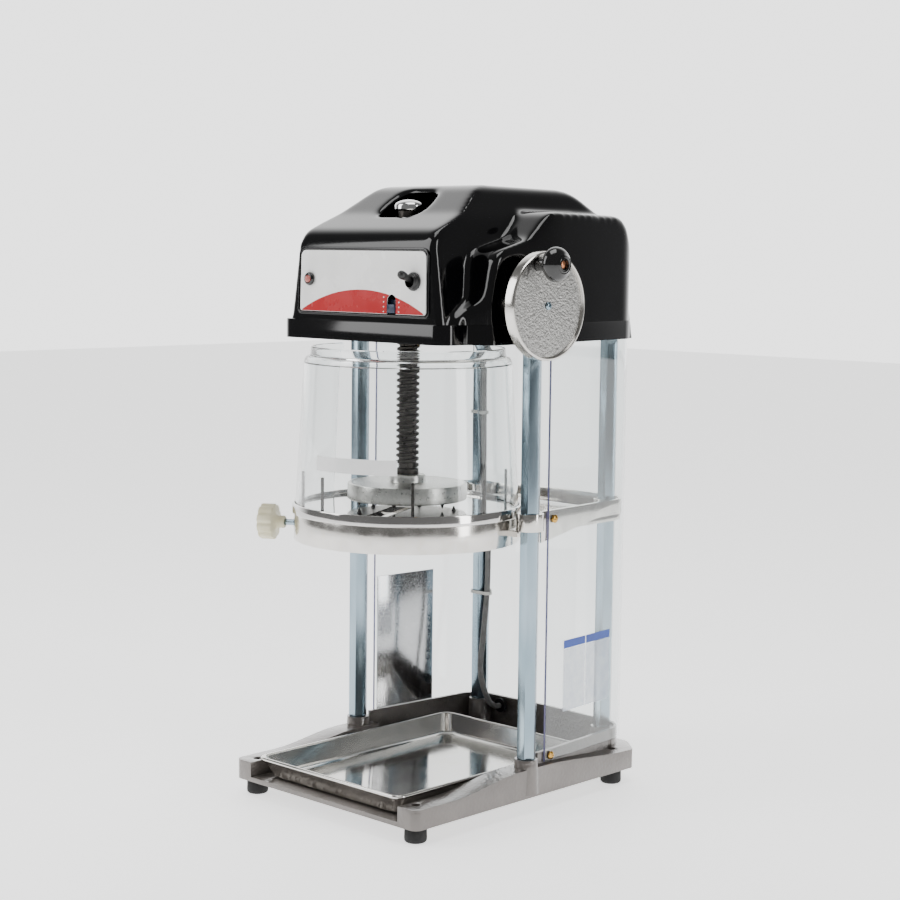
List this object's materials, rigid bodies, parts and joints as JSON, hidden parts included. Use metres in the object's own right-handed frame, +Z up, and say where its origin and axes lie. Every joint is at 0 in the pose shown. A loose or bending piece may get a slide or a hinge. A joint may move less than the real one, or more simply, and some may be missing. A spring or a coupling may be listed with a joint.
{
  "type": "ice shaver",
  "caption": "Electric block ice shaver: cast base on rubber feet, hexagonal columns, clear ice case over a blade table, screw-driven press plate, moulded head with side handwheel.",
  "frame": {"origin": "on the ground under the middle of the machine's outline, the free cord left out", "axes": "+Z up, -Y towards the user and the control panel, +X towards the handwheel"},
  "size_m": [0.3402, 0.4447, 0.5933],
  "materials": {
    "hammered_grey_paint": "glossy hammered enamel",
    "black_rubber": "matte",
    "zinc_plated_steel": "bright zinc",
    "polished_stainless": "polished",
    "oiled_steel": "dark, oiled",
    "machined_aluminium": "machined",
    "tool_steel": "ground",
    "brass": "bright",
    "cream_plastic": "satin",
    "clear_plastic": "clear acrylic",
    "bright_film": "mirror film",
    "chrome": "polished",
    "gloss_black_plastic": "high gloss",
    "printed_panel": "printed film",
    "red_lens": "translucent",
    "dark_blue_plastic": "satin",
    "motor_enamel": "satin",
    "grey_cord": "matte",
    "white_nylon": "satin"
  },
  "bodies": {
    "frame": {"base_casting": "hammered_grey_paint", "bearing_stand": "machined_aluminium", "blade_rail": "machined_aluminium", "blade_table": "polished_stainless", "cable_tie_lower": "white_nylon", "cable_tie_upper": "white_nylon", "case_pin_1": "oiled_steel", "case_pin_2": "oiled_steel", "case_pin_3": "oiled_steel", "case_pin_4": "oiled_steel", "case_pin_5": "oiled_steel", "column_bl": "zinc_plated_steel", "column_br": "zinc_plated_steel", "column_fl": "zinc_plated_steel", "column_fr": "zinc_plated_steel", "control_panel": "printed_panel", "cord_coil": "grey_cord", "cord_free": "grey_cord", "cord_gland": "gloss_black_plastic", "cord_lead": "grey_cord", "cover_screw_1": "brass", "cover_screw_2": "brass", "cover_screw_3": "brass", "cover_screw_4": "brass", "drive_belt": "black_rubber", "film_plate": "bright_film", "foot_bl": "black_rubber", "foot_br": "black_rubber", "foot_fl": "black_rubber", "foot_fr": "black_rubber", "head_chassis": "machined_aluminium", "head_cover": "gloss_black_plastic", "lamp_bezel": "gloss_black_plastic", "motor": "motor_enamel", "pilot_lamp": "red_lens", "plug": "grey_cord", "rear_cover": "clear_plastic", "shaft_bearing": "machined_aluminium", "switch_body": "gloss_black_plastic", "table_casting": "machined_aluminium"},
    "tray": {"drip_tray": "polished_stainless"},
    "blade": {"blade": "tool_steel", "blade_holder": "brass"},
    "adjuster": {"adjust_knob": "cream_plastic", "adjust_stud": "zinc_plated_steel"},
    "case": {"ice_case": "clear_plastic"},
    "drive": {"drive_pulley": "machined_aluminium"},
    "spindle": {"press_plate": "machined_aluminium", "lead_screw": "oiled_steel", "screw_cap": "chrome"},
    "motor_pulley": {"motor_pulley": "zinc_plated_steel"},
    "wheel": {"handwheel": "machined_aluminium", "wheel_screw": "zinc_plated_steel", "wheel_shaft": "zinc_plated_steel", "pinion_gear": "brass"},
    "crank_knob": {"crank_knob": "gloss_black_plastic"},
    "idler": {"idler_gear": "brass"},
    "nut": {"nut_gear": "brass"},
    "switch_lever": {"switch_lever": "gloss_black_plastic"},
    "speed_slider": {"speed_slider": "dark_blue_plastic"}
  },
  "joints": [
    {"name": "tray_slide", "type": "slide", "parent": "frame", "child": "tray", "axis": [0, -1, 0], "range_m": [0, 0.28]},
    {"name": "adjust_turn", "type": "hinge", "parent": "frame", "child": "adjuster", "pos_m": [-0.02507, -0.05575, 0.2655], "axis": [-0.8599, -0.5105, 0], "range_deg": [0, 540]},
    {"name": "blade_lift", "type": "slide", "parent": "frame", "child": "blade", "axis": [0, 0, 1], "range_m": [0, 0.0015], "stiffness_N_per_m": 124, "springref_m": 0.012},
    {"name": "case_turn", "type": "hinge", "parent": "frame", "child": "case", "pos_m": [-0.02507, -0.05575, 0.2873], "axis": [0, 0, 1], "continuous": true},
    {"name": "drive_spin", "type": "hinge", "parent": "frame", "child": "drive", "pos_m": [-0.02507, -0.05575, 0.508], "axis": [0, 0, 1], "continuous": true},
    {"name": "motor_spin", "type": "hinge", "parent": "frame", "child": "motor_pulley", "pos_m": [-0.02507, 0.08125, 0.508], "axis": [0, 0, 1], "continuous": true},
    {"name": "wheel_turn", "type": "hinge", "parent": "frame", "child": "wheel", "pos_m": [0.125, -0.03175, 0.4826], "axis": [1, 0, 0], "range_deg": [0, 11250]},
    {"name": "knob_spin", "type": "hinge", "parent": "wheel", "child": "crank_knob", "pos_m": [0.14, -0.04543, 0.52019], "axis": [1, 0, 0], "continuous": true},
    {"name": "idler_turn", "type": "hinge", "parent": "frame", "child": "idler", "pos_m": [0.01879, -0.03175, 0.46], "axis": [0, 0, 1], "range_deg": [0, 11251]},
    {"name": "nut_turn", "type": "hinge", "parent": "frame", "child": "nut", "pos_m": [-0.02507, -0.05575, 0.46], "axis": [0, 0, 1], "range_deg": [-7501, 0]},
    {"name": "spindle_lift", "type": "slide", "parent": "drive", "child": "spindle", "axis": [0, 0, 1], "range_m": [0, 0.125]},
    {"name": "switch_tilt", "type": "hinge", "parent": "frame", "child": "switch_lever", "pos_m": [0.04443, -0.1195, 0.5033], "axis": [1, 0, 0], "range_deg": [0, 44]},
    {"name": "speed_slide", "type": "slide", "parent": "frame", "child": "speed_slider", "axis": [0, 0, 1], "range_m": [0, 0.005]}
  ],
  "couplings": [
    {"joint": "adjust_turn", "follows": "blade_lift", "rad_per_m": 6283.2},
    {"joint": "motor_spin", "follows": "drive_spin", "ratio": 3.59},
    {"joint": "idler_turn", "follows": "wheel_turn", "ratio": 1},
    {"joint": "nut_turn", "follows": "wheel_turn", "ratio": -0.66667},
    {"joint": "spindle_lift", "follows": "wheel_turn", "m_per_rad": 0.0006366}
  ]
}
